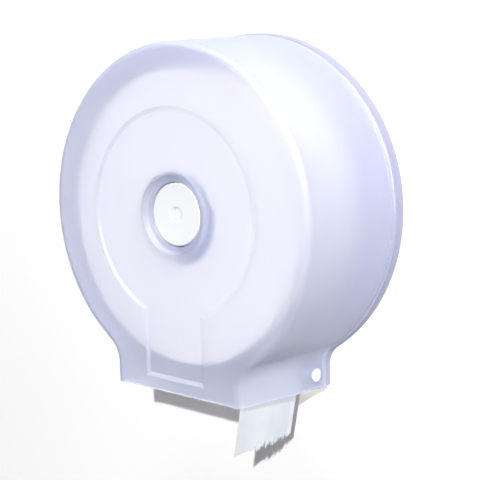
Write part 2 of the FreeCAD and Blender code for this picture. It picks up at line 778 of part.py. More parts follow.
def core_adaptor():
    """Sleeve that turns on the hub post and fills a 76 mm core; open inside between its ends."""
    body = turned("adaptor_body", [
        ("adaptor_bore", "adaptor_rear"),
        ("adaptor_radius", "adaptor_rear"),
        ("adaptor_radius", "adaptor_front - adaptor_shoulder"),
        ("adaptor_bore + adaptor_wall", "adaptor_front"),
        ("adaptor_bore", "adaptor_front"),
        ("adaptor_bore", "adaptor_front - adaptor_wall"),
        ("adaptor_lip", "adaptor_front - adaptor_wall"),
        ("adaptor_radius - adaptor_wall", "shoulder_inner"),
        ("adaptor_radius - adaptor_wall", "adaptor_rear + adaptor_wall"),
        ("adaptor_bore", "adaptor_rear + adaptor_wall"),
    ])
    return sub_part(body, "core_adaptor")


# Spindle cap and the lock inside it

def spindle_cap():
    body = turned("cap_body", [
        ("0", "cap_rear"),
        ("skirt_inner", "cap_rear"),
        ("skirt_inner", "skirt_rear"),
        ("skirt_radius", "skirt_rear"),
        ("skirt_radius", "cap_rear"),
        ("cap_radius", "cap_rear"),
        ("cap_radius", "cap_front_depth - cap_round"),
        ("cap_radius - cap_round", "cap_front_depth"),
        ("0", "cap_front_depth"),
    ])
    pieces = [body]
    tools = [rod("barrel_hole", "barrel_radius + barrel_gap", "cap_thick + 2 * overrun",
                 z="cap_rear - overrun"),
             taper("barrel_rim", "barrel_radius + barrel_gap",
                   "barrel_radius + barrel_gap + barrel_rim_wide * (barrel_sink + overrun) / barrel_sink",
                   "barrel_sink + overrun", z="barrel_face")]
    for side, sign in (("left", "-"), ("right", "")):
        across = f"{sign}keeper_screw_place"
        pieces.append(rod(f"keeper_boss_{side}", "keeper_boss_radius", "cap_rear - keeper_front",
                          x=across, z="keeper_front"))
        tools.append(rod(f"keeper_bore_{side}", "small_screw_radius + running_gap",
                         "keeper_screw_length - keeper_thick + overrun",
                         x=across, z="keeper_front - overrun"))
        start = "bolt_wide / 2 + bolt_gap"
        if side == "left":
            start = "-bolt_wide / 2 - bolt_gap - guide_wide"
        pieces.append(block(f"bolt_guide_{side}", "guide_wide", "guide_length",
                            "cap_rear - keeper_front", x=start, y="bolt_tip_start",
                            z="keeper_front"))
        head_start = "skirt_radius - small_screw_head_height - head_gap"
        if side == "left":
            head_start = "-(skirt_radius) - overrun"
        tools.append(rod(f"cap_screw_seat_{side}", "small_screw_head_radius + head_gap",
                         "small_screw_head_height + head_gap + overrun", x=head_start,
                         z="cap_screw_depth", along="x"))
    tools.append(rod("skirt_holes", "small_screw_radius + running_gap", "2 * cap_radius",
                     x="-cap_radius", z="cap_screw_depth", along="x"))
    tools.append(block("bolt_window", "bolt_wide + 2 * bolt_gap", "cap_radius",
                       "cap_rear - keeper_front", x="-bolt_wide / 2 - bolt_gap",
                       y="bolt_tip_start", z="keeper_front"))
    return sub_part(cut("cap_cut", join("cap_solid", pieces), tools), "spindle_cap")


def cap_screws():
    screws = []
    for side in ("left", "right"):
        head_start = "cap_head_seat"
        shank_start = "cap_head_seat - cap_screw_length"
        slot_start = "cap_head_seat + small_screw_head_height / 2"
        if side == "left":
            head_start = "-(cap_head_seat) - small_screw_head_height"
            shank_start = "-(cap_head_seat) - small_screw_head_height / 2"
            slot_start = "-(cap_head_seat) - small_screw_head_height - overrun"
        head = rod(f"cap_screw_head_{side}", "small_screw_head_radius", "small_screw_head_height",
                   x=head_start, z="cap_screw_depth", along="x")
        shank = rod(f"cap_screw_shank_{side}", "small_screw_radius",
                    "cap_screw_length + small_screw_head_height / 2", x=shank_start,
                    z="cap_screw_depth", along="x")
        slots = cross_slots(f"cap_screw_{side}", "small_screw_radius",
                            "small_screw_head_height / 2 + overrun", slot_start, "0",
                            "cap_screw_depth", "x")
        screws.append(cut(f"cap_screw_{side}", join(f"cap_screw_blank_{side}", [head, shank]), slots))
    return sub_part(together("cap_screw_set", screws), "cap_screws")


def lock_barrel():
    pieces = [
        rod("barrel_plug", "barrel_radius", "barrel_face - barrel_seat", z="barrel_seat"),
        rod("barrel_flange", "barrel_flange_radius", "barrel_flange_thick", z="barrel_rear"),
        rod("crank_pin", "crank_pin_radius", "crank_pin_height + overrun", x="crank_place",
            y="-crank_place", z="barrel_rear - crank_pin_height"),
    ]
    holes = [block("key_slot", "key_slot_wide", "2 * key_pin_place", "key_slot_depth + overrun",
                   x="-key_slot_wide / 2", y="-key_pin_place", z="barrel_face - key_slot_depth")]
    for level, sign in (("low", "-"), ("high", "")):
        holes.append(rod(f"key_pin_hole_{level}", "key_pin_radius", "key_pin_depth + overrun",
                         y=f"{sign}key_pin_place", z="barrel_face - key_pin_depth"))
    key_way = join("key_way", holes)
    key_way.Placement = FreeCAD.Placement(
        FreeCAD.Vector(0, 0, 0), FreeCAD.Rotation(FreeCAD.Vector(0, 0, 1), KEY_LEAN))
    return sub_part(cut("barrel_cut", join("barrel_solid", pieces), [key_way]), "lock_barrel")


def barrel_washer():
    return sub_part(ring("wave_ring", "barrel_flange_radius", "barrel_radius + barrel_gap",
                         "barrel_seat + side_gap", "wave_washer_thick"), "barrel_washer")


def lock_bolt():
    pieces = [
        block("bolt_plate", "bolt_wide", "bolt_tail + bolt_tip_start + overrun", "bolt_thick",
              x="-bolt_wide / 2", y="-bolt_tail", z="bolt_rear"),
        block("bolt_tip", "bolt_wide", "bolt_reach - bolt_tip_start - bolt_gap",
              "cap_rear - bolt_rear - bolt_gap", x="-bolt_wide / 2",
              y="bolt_tip_start + bolt_gap", z="bolt_rear"),
    ]
    slot_high = "2 * crank_pin_radius + 2 * slot_gap"
    slot = block("crank_slot", f"crank_throw - crank_place + {slot_high}",
                 slot_high, "bolt_thick + 2 * overrun",
                 x="crank_place - crank_pin_radius - slot_gap",
                 y="-crank_place - crank_pin_radius - slot_gap", z="bolt_rear - overrun")
    return sub_part(cut("bolt_cut", join("bolt_solid", pieces), [slot]), "lock_bolt")


def bolt_keeper():
    disc = rod("keeper_disc", "skirt_inner - bolt_gap", "keeper_thick", z="keeper_rear")
    tools = []
    for side, sign in (("left", "-"), ("right", "")):
        tools.append(rod(f"keeper_hole_{side}", "small_screw_radius + running_gap",
                         "keeper_thick + 2 * overrun", x=f"{sign}keeper_screw_place",
                         z="keeper_rear - overrun"))
    return sub_part(cut("keeper_cut", disc, tools), "bolt_keeper")


def keeper_screws():
    screws = []
    for side, sign in (("left", "-"), ("right", "")):
        across = f"{sign}keeper_screw_place"
        head = rod(f"keeper_screw_head_{side}", "small_screw_head_radius",
                   "small_screw_head_height", x=across, z="keeper_rear - small_screw_head_height")
        shank = rod(f"keeper_screw_shank_{side}", "small_screw_radius",
                    "keeper_screw_length + overrun", x=across, z="keeper_rear - overrun")
        slots = cross_slots(f"keeper_screw_{side}", "small_screw_radius",
                            "small_screw_head_height / 2 + overrun", across, "0",
                            "keeper_rear - small_screw_head_height - overrun", "z")
        screws.append(cut(f"keeper_screw_{side}",
                          join(f"keeper_screw_blank_{side}", [head, shank]), slots))
    return sub_part(together("keeper_screw_set", screws), "keeper_screws")


# Hinge pins, their clips and washers

def hinge_pin(side):
    right = side == "right"
    head = rod(f"pin_head_{side}", "pin_head_radius", "pin_head_height",
               x="head_seat" if right else "-(head_outer)",
               y="-hinge_drop", z="hinge_depth", along="x")
    shank = rod(f"pin_shank_{side}", "pin_radius", "head_seat - pin_end + overrun",
                x="pin_end" if right else "-(head_seat) - overrun",
                y="-hinge_drop", z="hinge_depth", along="x")
    dimple = rod(f"pin_dimple_{side}", "pin_dimple_radius", "pin_dimple_depth + overrun",
                 x="head_outer - pin_dimple_depth" if right else "-(head_outer) - overrun",
                 y="-hinge_drop", z="hinge_depth", along="x")
    return sub_part(cut(f"pin_{side}", join(f"pin_blank_{side}", [head, shank]), [dimple]),
                    f"hinge_pin_{side}")


def hinge_rings(name, label, outer, start, thick):
    """One ring round each hinge pin; start is the ring's inner side on the right-hand pin."""
    rings = []
    for side in ("left", "right"):
        first = start if side == "right" else f"-({start}) - {thick}"
        disc = rod(f"{name}_disc_{side}", outer, thick, x=first,
                   y="-hinge_drop", z="hinge_depth", along="x")
        bore = rod(f"{name}_bore_{side}", "pin_radius + running_gap", f"{thick} + 2 * overrun",
                   x=f"{first} - overrun", y="-hinge_drop", z="hinge_depth", along="x")
        rings.append(cut(f"{name}_{side}", disc, [bore]))
    return sub_part(together(f"{name}_pair", rings), label)


# Paper roll, its core and its loose end

def roll_sleeve(name, label, outer, inner, start, depth):
    blank = rod(name + "_blank", outer, depth, y="-roll_drop", z=start)
    bore = rod(name + "_bore", inner, f"{depth} + 2 * overrun", y="-roll_drop",
               z=f"{start} - overrun")
    return sub_part(cut(name + "_cut", blank, [bore]), label)


def tail_corners():
    """Off the roll's right side, past the throat's wall, and out below the front edge."""
    radius = mm("roll_radius") + mm("tail_lift")
    drop = mm("roll_drop")
    front = mm("throat_front_half")
    low = -mm("throat_front_drop")
    across = front - mm("cover_wall") - mm("tail_gap")
    neck_y = neck_height(mm("front_radius"), front, mm("neck_radius"))
    turn = math.atan2(neck_y + drop, across)
    turn += math.acos(radius / math.hypot(across, neck_y + drop))
    route = [
        (radius * math.cos(turn), radius * math.sin(turn) - drop),
        (across, neck_y),
        (across, low - mm("tail_kink_drop")),
        (across - mm("tail_lean"), low - mm("tail_hang")),
    ]
    return [FreeCAD.Vector(x, y, mm("roll_rear")) for x, y in route]


def tail_path():
    """Straight runs between the tail's corners, joined by tangent arcs."""
    corners = tail_corners()
    edges = []
    last = corners[0]
    for before, corner, after in zip(corners, corners[1:], corners[2:]):
        to_before = (before - corner).normalize()
        to_after = (after - corner).normalize()
        run = min((before - corner).Length, (after - corner).Length) * ARC_SHARE
        start = corner + to_before * run
        end = corner + to_after * run
        half_turn = (math.pi - to_before.getAngle(to_after)) / 2
        bend = run / math.tan(half_turn)
        centre = corner + (to_before + to_after).normalize() * (bend / math.cos(half_turn))
        middle = centre + (corner - centre).normalize() * bend
        edges.append(Part.LineSegment(last, start).toShape())
        edges.append(Part.Arc(start, middle, end).toShape())
        last = end
    edges.append(Part.LineSegment(last, corners[-1]).toShape())
    return Part.Wire(edges), (corners[1] - corners[0]).normalize(), corners[0]


def paper_tail():
    """Thin sheet with shallow folds that run down its length."""
    path, along, start = tail_path()
    across = FreeCAD.Vector(0, 0, 1)
    out = along.cross(across)
    wave = mm("tail_wave")
    half = mm("tail_thick") / 2
    width = mm("roll_width")
    step = width / TAIL_WAVES / 2
    sides = []
    for offset in (half, -half):
        arcs = []
        for index in range(2 * TAIL_WAVES):
            crest = wave if index % 2 == 0 else -wave
            first = start + across * (step * index) + out * offset
            top = start + across * (step * index + step / 2) + out * (offset + crest)
            last = start + across * (step * (index + 1)) + out * offset
            arcs.append(Part.Arc(first, top, last).toShape())
        sides.append(arcs)
    ends = [
        Part.LineSegment(start + out * half, start - out * half).toShape(),
        Part.LineSegment(start + across * width + out * half,
                         start + across * width - out * half).toShape(),
    ]
    section = Part.Wire(Part.__sortEdges__(sides[0] + sides[1] + ends))
    sheet = path.makePipeShell([section], True, False)
    print("tail length", round(path.Length, 1), "volume", round(sheet.Volume, 1),
          "section times length", round(Part.Face(section).Area * path.Length, 1))
    item = doc.addObject("Part::Feature", "tail_sheet")
    item.Shape = sheet
    return sub_part(item, "paper_tail")


back_plate()
front_cover()
spindle_hub()
hub_screws()
hub_washers()
core_adaptor()
spindle_cap()
cap_screws()
lock_barrel()
barrel_washer()
lock_bolt()
bolt_keeper()
keeper_screws()
hinge_pin("left")
hinge_pin("right")
hinge_rings("clip", "hinge_clips", "clip_radius", "(ear_inner - side_gap - clip_thick)", "clip_thick")
hinge_rings("washer", "hinge_washers", "washer_radius", "(ear_outer + side_gap)", "washer_thick")
roll_sleeve("core", "roll_core", "core_radius", "core_inner_radius", "roll_rear", "roll_width")
roll_sleeve("paper", "roll_paper", "roll_radius", "core_radius + core_gap", "roll_rear", "roll_width")
paper_tail()
doc.recompute()

faults = []
for item in doc.Objects:
    if "Invalid" in item.State or "Error" in item.State:
        faults.append(f"{item.Name} did not compute")
for item in sub_parts:
    if item.Shape.isNull() or not item.Shape.isValid():
        faults.append(f"{item.Label} is not a valid shape")
    elif not item.Shape.Solids:
        faults.append(f"{item.Label} holds no solid")
if faults:
    raise RuntimeError("; ".join(faults))

os.makedirs("parts", exist_ok=True)
for item in sub_parts:
    item.Shape.exportStep(f"parts/{item.Label}.step")
    box = item.Shape.BoundBox
    print(f"{item.Label:16} solids {len(item.Shape.Solids)}  volume {item.Shape.Volume:10.1f}"
          f"  x {box.XMin:7.1f} {box.XMax:7.1f}  y {box.YMin:7.1f} {box.YMax:7.1f}"
          f"  z {box.ZMin:7.1f} {box.ZMax:7.1f}")
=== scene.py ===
import math
import random

import bpy
from mathutils import Matrix, Vector


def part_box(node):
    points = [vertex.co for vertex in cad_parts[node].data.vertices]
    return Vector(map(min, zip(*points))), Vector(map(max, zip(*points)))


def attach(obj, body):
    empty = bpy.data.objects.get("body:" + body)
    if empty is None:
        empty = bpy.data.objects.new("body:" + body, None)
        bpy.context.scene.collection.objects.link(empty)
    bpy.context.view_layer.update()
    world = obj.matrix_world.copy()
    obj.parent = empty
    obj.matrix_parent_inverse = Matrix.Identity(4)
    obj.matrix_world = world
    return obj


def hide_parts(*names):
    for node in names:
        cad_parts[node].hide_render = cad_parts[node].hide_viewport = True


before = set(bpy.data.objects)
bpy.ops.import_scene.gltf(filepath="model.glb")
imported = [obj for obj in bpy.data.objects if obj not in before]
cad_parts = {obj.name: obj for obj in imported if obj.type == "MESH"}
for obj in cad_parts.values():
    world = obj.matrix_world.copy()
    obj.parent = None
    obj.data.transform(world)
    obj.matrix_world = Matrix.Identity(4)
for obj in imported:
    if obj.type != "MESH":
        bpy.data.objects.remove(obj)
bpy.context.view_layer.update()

# Sizes, in metres

MM = 0.001
roll_low, roll_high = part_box("roll_paper")
core_low, core_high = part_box("roll_core")
ROLL_RADIUS = (roll_high.x - roll_low.x) / 2
CORE_RADIUS = (core_high.x - core_low.x) / 2
ROLL_AXIS = Vector(((roll_high.x + roll_low.x) / 2, 0.0, (roll_high.z + roll_low.z) / 2))
ROLL_FRONT = roll_low.y
ROLL_BACK = roll_high.y
PAPER_WIDTH = ROLL_BACK - ROLL_FRONT
PLATE_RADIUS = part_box("back_plate")[1].x

# Camera, where the photo was taken from, with its lens and sensor in millimetres

CAMERA_PLACE = Vector((0.554536, -0.698699, 0.102106))
CAMERA_AZIMUTH = math.radians(39.62)
CAMERA_HEIGHT = math.radians(8.79)
CAMERA_ROLL = math.radians(-1.24)
CAMERA_LENS = 73.25
CAMERA_SENSOR = 36.0

back = Vector((
    math.sin(CAMERA_AZIMUTH) * math.cos(CAMERA_HEIGHT),
    -math.cos(CAMERA_AZIMUTH) * math.cos(CAMERA_HEIGHT),
    math.sin(CAMERA_HEIGHT)))
level = Vector((math.cos(CAMERA_AZIMUTH), math.sin(CAMERA_AZIMUTH), 0.0))
upright = back.cross(level)
camera_x = level * math.cos(CAMERA_ROLL) + upright * math.sin(CAMERA_ROLL)
camera_y = upright * math.cos(CAMERA_ROLL) - level * math.sin(CAMERA_ROLL)

camera_data = bpy.data.cameras.new("photo_view")
camera_data.lens = CAMERA_LENS
camera_data.sensor_width = CAMERA_SENSOR
camera = bpy.data.objects.new("photo_view", camera_data)
bpy.context.scene.collection.objects.link(camera)
camera.matrix_world = Matrix.Translation(CAMERA_PLACE) @ Matrix(
    (camera_x, camera_y, back)).transposed().to_4x4()
bpy.context.scene.camera = camera
bpy.context.scene.view_settings.view_transform = "Standard"


# Small helpers

def linear(code):
    """An sRGB hex colour as the linear numbers that a shader takes."""
    shades = [int(code[place:place + 2], 16) / 255 for place in (1, 3, 5)]
    return (*(s / 12.92 if s <= 0.04045 else ((s + 0.055) / 1.055) ** 2.4 for s in shades), 1.0)


# A mix of two colours has its sockets under these numbers, as their names occur more than once
FIRST_COLOUR = 6
SECOND_COLOUR = 7
MIXED_COLOUR = 2


def add_node(tree, kind, values=None, **settings):
    """One node: its settings by name, and its sockets by name or number, as numbers or links."""
    node = tree.nodes.new(kind)
    for name, value in settings.items():
        setattr(node, name, value)
    for socket, value in (values or {}).items():
        if isinstance(value, bpy.types.NodeSocket):
            tree.links.new(value, node.inputs[socket])
        else:
            node.inputs[socket].default_value = value
    return node


def new_material(name):
    """An empty node material and its tree."""
    material = bpy.data.materials.new(name)
    material.use_nodes = True
    material.node_tree.nodes.clear()
    return material, material.node_tree


def finish_material(tree, surface):
    """The surface shader goes to the material's output."""
    add_node(tree, "ShaderNodeOutputMaterial", {"Surface": surface})


# Edges that turn more than this stay sharp: the walls of the cover's recess slope by 23 degrees
SHARP_TURN = math.radians(20)


def dress(node, material):
    """A CAD node keeps its mesh and gets a material and smooth shading between its sharp edges."""
    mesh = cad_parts[node].data
    mesh.materials.clear()
    mesh.materials.append(material)
    mesh.shade_smooth()
    mesh.set_sharp_from_angle(angle=SHARP_TURN)


def add_mesh(name, points, faces, material, body):
    """A new mesh piece that rides on a body."""
    mesh = bpy.data.meshes.new(name)
    mesh.from_pydata(points, [], faces)
    mesh.validate()
    mesh.materials.append(material)
    mesh.shade_smooth()
    piece = bpy.data.objects.new(name, mesh)
    bpy.context.scene.collection.objects.link(piece)
    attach(piece, body)
    return piece


# Materials

# A little less than SAN's 1.57 and ABS's 1.54
PLASTIC_IOR = 1.5

# Noise that sways a gloss lies mostly between these two values
NOISE_LOW = 0.3
NOISE_HIGH = 0.7

# A frosted wall spreads the light that it lets through, and the more so the redder: what is nearer
# than the first distance is lit as if the wall were clear, then comes a blue twilight, at a share of
# the way to the second, and what is further than that lies in its shadow
SCATTER_NEAR = 0.085
SCATTER_FAR = 0.160
TWILIGHT_SHARE = 0.7
TWILIGHT_TINT = "#6472C4"
SHADOW_TINT = "#2C2A2C"
# The grain of the spark texture is about 0.1 mm, too fine to show, and is drawn coarser
SPARK_GRAIN = 0.35 * MM
MELT_FLOW = 60 * MM
FROST_SWAY = 0.03


def frosted_plastic(name, tone, clear, haze, roughness, lamp_share):
    """Frosted translucent SAN, injection moulded: what lies close behind shows softly, tinted by the
    tone, and the haze in the plastic throws back a milky blue. The mould's fine spark texture breaks
    up its gloss. Clear is the share that the haze leaves open, and lamp_share what the lamps' light
    keeps on its way in."""
    material, tree = new_material(name)
    place = add_node(tree, "ShaderNodeTexCoord").outputs["Object"]
    grain = add_node(tree, "ShaderNodeTexNoise", {
        "Vector": place, "Scale": 1 / SPARK_GRAIN, "Detail": 2.0, "Roughness": 0.6})
    flow = add_node(tree, "ShaderNodeTexNoise", {
        "Vector": place, "Scale": 1 / MELT_FLOW, "Detail": 1.0, "Roughness": 0.5})
    gloss = add_node(tree, "ShaderNodeMapRange", {
        "Value": flow.outputs["Fac"], "From Min": NOISE_LOW, "From Max": NOISE_HIGH,
        "To Min": roughness - FROST_SWAY, "To Max": roughness + FROST_SWAY})
    bump = add_node(tree, "ShaderNodeBump", {
        "Height": grain.outputs["Fac"], "Strength": 0.12, "Distance": 0.02 * MM})
    plastic = add_node(tree, "ShaderNodeBsdfPrincipled", {
        "Base Color": linear(tone), "Roughness": gloss.outputs["Result"], "IOR": PLASTIC_IOR,
        "Specular IOR Level": 0.2, "Transmission Weight": 1.0,
        "Normal": bump.outputs["Normal"]})
    milk = add_node(tree, "ShaderNodeBsdfDiffuse", {
        "Color": linear(haze), "Normal": bump.outputs["Normal"]})
    milky = add_node(tree, "ShaderNodeMixShader", {
        0: clear, 1: milk.outputs[0], 2: plastic.outputs[0]})
    # Lamps reach what is inside: frosted plastic scatters light but keeps little of it
    ray = add_node(tree, "ShaderNodeLightPath")
    spread = add_node(tree, "ShaderNodeMapRange", {
        "Value": ray.outputs["Ray Length"], "From Min": SCATTER_NEAR, "From Max": SCATTER_FAR})
    passed = add_node(tree, "ShaderNodeValToRGB", {"Fac": spread.outputs["Result"]})
    stops = passed.color_ramp.elements
    stops[0].color = linear(lamp_share)
    stops[1].color = linear(SHADOW_TINT)
    stops.new(TWILIGHT_SHARE).color = linear(TWILIGHT_TINT)
    open_to_lamps = add_node(tree, "ShaderNodeBsdfTransparent", {"Color": passed.outputs["Color"]})
    mixed = add_node(tree, "ShaderNodeMixShader", {
        0: ray.outputs["Is Shadow Ray"], 1: milky.outputs[0], 2: open_to_lamps.outputs[0]})
    finish_material(tree, mixed.outputs[0])
    return material


ORANGE_PEEL = 1.6 * MM
PEEL_SWAY = 0.02


def moulded_plastic(name, tone, roughness):
    """ABS, injection moulded: even and slightly soft in gloss, with a very fine orange peel."""
    material, tree = new_material(name)
    place = add_node(tree, "ShaderNodeTexCoord").outputs["Object"]
    peel = add_node(tree, "ShaderNodeTexNoise", {
        "Vector": place, "Scale": 1 / ORANGE_PEEL, "Detail": 1.0, "Roughness": 0.4})
    bump = add_node(tree, "ShaderNodeBump", {
        "Height": peel.outputs["Fac"], "Strength": 0.08, "Distance": 0.02 * MM})
    gloss = add_node(tree, "ShaderNodeMapRange", {
        "Value": peel.outputs["Fac"], "From Min": NOISE_LOW, "From Max": NOISE_HIGH,
        "To Min": roughness - PEEL_SWAY, "To Max": roughness + PEEL_SWAY})
    plastic = add_node(tree, "ShaderNodeBsdfPrincipled", {
        "Base Color": linear(tone), "Roughness": gloss.outputs["Result"], "IOR": PLASTIC_IOR,
        "Normal": bump.outputs["Normal"]})
    finish_material(tree, plastic.outputs[0])
    return material


ROLLING_MARKS = 0.5 * MM


def zinc_plate(name):
    """Steel, bright zinc plated: pale grey, a little blue, with fine marks of the heading and the
    rolling."""
    material, tree = new_material(name)
    place = add_node(tree, "ShaderNodeTexCoord").outputs["Object"]
    marks = add_node(tree, "ShaderNodeTexNoise", {
        "Vector": place, "Scale": 1 / ROLLING_MARKS, "Detail": 3.0, "Roughness": 0.6})
    gloss = add_node(tree, "ShaderNodeMapRange", {
        "Value": marks.outputs["Fac"], "From Min": NOISE_LOW, "From Max": NOISE_HIGH,
        "To Min": 0.26, "To Max": 0.4})
    tint = add_node(tree, "ShaderNodeMix", {
        "Factor": marks.outputs["Fac"], FIRST_COLOUR: linear("#C3C7CC"),
        SECOND_COLOUR: linear("#DADCDD")}, data_type="RGBA")
    bump = add_node(tree, "ShaderNodeBump", {
        "Height": marks.outputs["Fac"], "Strength": 0.15, "Distance": 0.01 * MM})
    steel = add_node(tree, "ShaderNodeBsdfPrincipled", {
        "Base Color": tint.outputs[MIXED_COLOUR], "Roughness": gloss.outputs["Result"],
        "Metallic": 1.0, "Normal": bump.outputs["Normal"]})
    finish_material(tree, steel.outputs[0])
    return material


BOARD_STRIP = 70 * MM
BOARD_FIBRE = 0.8 * MM
# Half the seam's width, as a share of the strip's
SEAM_SHARE = 0.008


def wound_board(name):
    """Pale grey core board, spiral wound: matt, speckled with fibres, with the seam of its strip,
    which climbs by its own width in each turn."""
    material, tree = new_material(name)
    place = add_node(tree, "ShaderNodeTexCoord").outputs["Object"]
    parts = add_node(tree, "ShaderNodeSeparateXYZ", {"Vector": place})
    height = add_node(tree, "ShaderNodeMath", {
        0: parts.outputs["Z"], 1: ROLL_AXIS.z}, operation="SUBTRACT")
    angle = add_node(tree, "ShaderNodeMath", {
        0: height.outputs[0], 1: parts.outputs["X"]}, operation="ARCTAN2")
    turns = add_node(tree, "ShaderNodeMath", {
        0: angle.outputs[0], 1: 1 / (2 * math.pi)}, operation="MULTIPLY")
    climb = add_node(tree, "ShaderNodeMath", {
        0: parts.outputs["Y"], 1: 1 / BOARD_STRIP, 2: turns.outputs[0]}, operation="MULTIPLY_ADD")
    phase = add_node(tree, "ShaderNodeMath", {0: climb.outputs[0]}, operation="FRACT")
    seam = add_node(tree, "ShaderNodeMath", {
        0: phase.outputs[0], 1: 0.5, 2: SEAM_SHARE}, operation="COMPARE")
    fibre = add_node(tree, "ShaderNodeTexNoise", {
        "Vector": place, "Scale": 1 / BOARD_FIBRE, "Detail": 4.0, "Roughness": 0.65})
    tint = add_node(tree, "ShaderNodeMix", {
        "Factor": fibre.outputs["Fac"], FIRST_COLOUR: linear("#D8D9E0"),
        SECOND_COLOUR: linear("#E8E9EE")}, data_type="RGBA")
    lined = add_node(tree, "ShaderNodeMix", {
        "Factor": seam.outputs[0], FIRST_COLOUR: tint.outputs[MIXED_COLOUR],
        SECOND_COLOUR: linear("#B9B5B1")}, data_type="RGBA")
    bump = add_node(tree, "ShaderNodeBump", {
        "Height": fibre.outputs["Fac"], "Strength": 0.3, "Distance": 0.05 * MM})
    board = add_node(tree, "ShaderNodeBsdfPrincipled", {
        "Base Color": lined.outputs[MIXED_COLOUR], "Roughness": 0.85,
        "Normal": bump.outputs["Normal"]})
    finish_material(tree, board.outputs[0])
    return material


# The crepe is drawn as ridges along the paper's width, so its noise is stretched in Y
CREPE = 0.5 * MM
CREPE_STRETCH = (1.0, 0.12, 1.0)
# An embossed dot's floor and rim reach out to these shares of the dots' spacing
DOT_SPACING = 4.0 * MM
DOT_FLOOR = 0.12
DOT_RIM = 0.3
PLY_CLOUDS = 7 * MM


def creped_tissue(name, tone, shade):
    """Two-ply tissue: matt and soft, creped across its length, with embossed dots and with clouds
    of thinner and thicker fibre."""
    material, tree = new_material(name)
    place = add_node(tree, "ShaderNodeTexCoord").outputs["Object"]
    stretched = add_node(tree, "ShaderNodeMapping", {"Vector": place, "Scale": CREPE_STRETCH})
    crepe = add_node(tree, "ShaderNodeTexNoise", {
        "Vector": stretched.outputs[0], "Scale": 1 / CREPE, "Detail": 2.0, "Roughness": 0.6})
    dots = add_node(tree, "ShaderNodeTexVoronoi", {
        "Vector": place, "Scale": 1 / DOT_SPACING, "Randomness": 0.25})
    dimple = add_node(tree, "ShaderNodeMapRange", {
        "Value": dots.outputs["Distance"], "From Min": DOT_FLOOR, "From Max": DOT_RIM})
    cloud = add_node(tree, "ShaderNodeTexNoise", {
        "Vector": place, "Scale": 1 / PLY_CLOUDS, "Detail": 3.0, "Roughness": 0.6})
    tint = add_node(tree, "ShaderNodeMix", {
        "Factor": cloud.outputs["Fac"], FIRST_COLOUR: linear(shade),
        SECOND_COLOUR: linear(tone)}, data_type="RGBA")
    fine = add_node(tree, "ShaderNodeBump", {
        "Height": crepe.outputs["Fac"], "Strength": 0.35, "Distance": 0.08 * MM})
    embossed = add_node(tree, "ShaderNodeBump", {
        "Height": dimple.outputs["Result"], "Strength": 0.3, "Distance": 0.12 * MM,
        "Normal": fine.outputs["Normal"]})
    tissue = add_node(tree, "ShaderNodeBsdfPrincipled", {
        "Base Color": tint.outputs[MIXED_COLOUR], "Roughness": 0.9, "Specular IOR Level": 0.2,
        "Sheen Weight": 0.15, "Normal": embossed.outputs["Normal"]})
    finish_material(tree, tissue.outputs[0])
    return material


cover_plastic = frosted_plastic(
    "frosted_san_cover", tone="#F1EFF0", clear=0.76, haze="#CED8F5", roughness=0.4,
    lamp_share="#D2CFCA")
plate_plastic = frosted_plastic(
    "frosted_san_plate", tone="#DADAE4", clear=0.5, haze="#CDCDE0", roughness=0.5,
    lamp_share="#9C9EB6")
hub_plastic = moulded_plastic("moulded_abs_hub", tone="#94ADE6", roughness=0.42)
white_plastic = moulded_plastic("moulded_abs_white", tone="#F4F5F7", roughness=0.3)
plated = zinc_plate("bright_zinc_plate")
board = wound_board("spiral_wound_board")
tissue = creped_tissue("creped_two_ply_tissue", tone="#F4F2EC", shade="#EFEDE7")
# The hanging tail is the same two-ply tissue as the roll, painted darker and cooler than it as
# painted shade
tail_tissue_painted_shade = creped_tissue("creped_tissue_tail_painted_shade", tone="#E6EBEE", shade="#DEE3E6")

dress("front_cover", cover_plastic)
dress("back_plate", plate_plastic)
for node in ("spindle_hub", "core_adaptor"):
    dress(node, hub_plastic)
for node in ("spindle_cap", "lock_barrel", "lock_bolt", "bolt_keeper", "hinge_pin_left",
             "hinge_pin_right", "hinge_washers"):
    dress(node, white_plastic)
for node in ("hub_screws", "hub_washers", "cap_screws", "keeper_screws", "hinge_clips",
             "barrel_washer"):
    dress(node, plated)
dress("roll_core", board)


# The wound roll

ROLL_SECTORS = 160
ROLL_OUTER_ROWS = 8
CORE_GAP = 0.05 * MM
# Real wraps are about 0.2 mm apart, which is too fine to show, so each ridge stands for several
WRAP_PITCH = 0.9 * MM
# The ends drift in and out with the winding, by a random step that the next wraps mostly keep
DRIFT_STEP = 0.1 * MM
DRIFT_KEPT = 0.8
WRAP_STAND = 0.12 * MM
RIDGE_DEPTH = 0.16 * MM
RIM_RADIUS_LOSS = 0.15 * MM
RIM_DEPTH = 0.2 * MM
OUTER_RADIUS_LOSS = 0.12 * MM
# Swells of the outside: waves round the roll, where they start, and their twist for each metre
SWELL = 0.12 * MM
SWELL_WAVES = ((3, 1.0, 0.0), (7, 0.0, 40.0))
# Waves of both ends: how many round the roll, and their twist for each metre of radius
END_WAVE = 0.06 * MM
END_WAVES = 2
END_TWIST = 900


def roll_profile():
    """Radius and depth of each point on an end of the roll, from the core outwards."""
    rng = random.Random(41)
    bore = CORE_RADIUS + CORE_GAP
    wraps = round((ROLL_RADIUS - bore) / WRAP_PITCH)
    step = (ROLL_RADIUS - bore) / wraps
    profile = []
    drift = 0.0
    for wrap in range(wraps):
        drift = DRIFT_KEPT * drift + rng.uniform(-DRIFT_STEP, DRIFT_STEP)
        near = bore + step * wrap
        stand = abs(drift) + rng.uniform(0.0, WRAP_STAND)
        profile += [(near, stand + RIDGE_DEPTH), (near + 0.5 * step, stand)]
    return profile + [(ROLL_RADIUS - RIM_RADIUS_LOSS, RIM_DEPTH)]


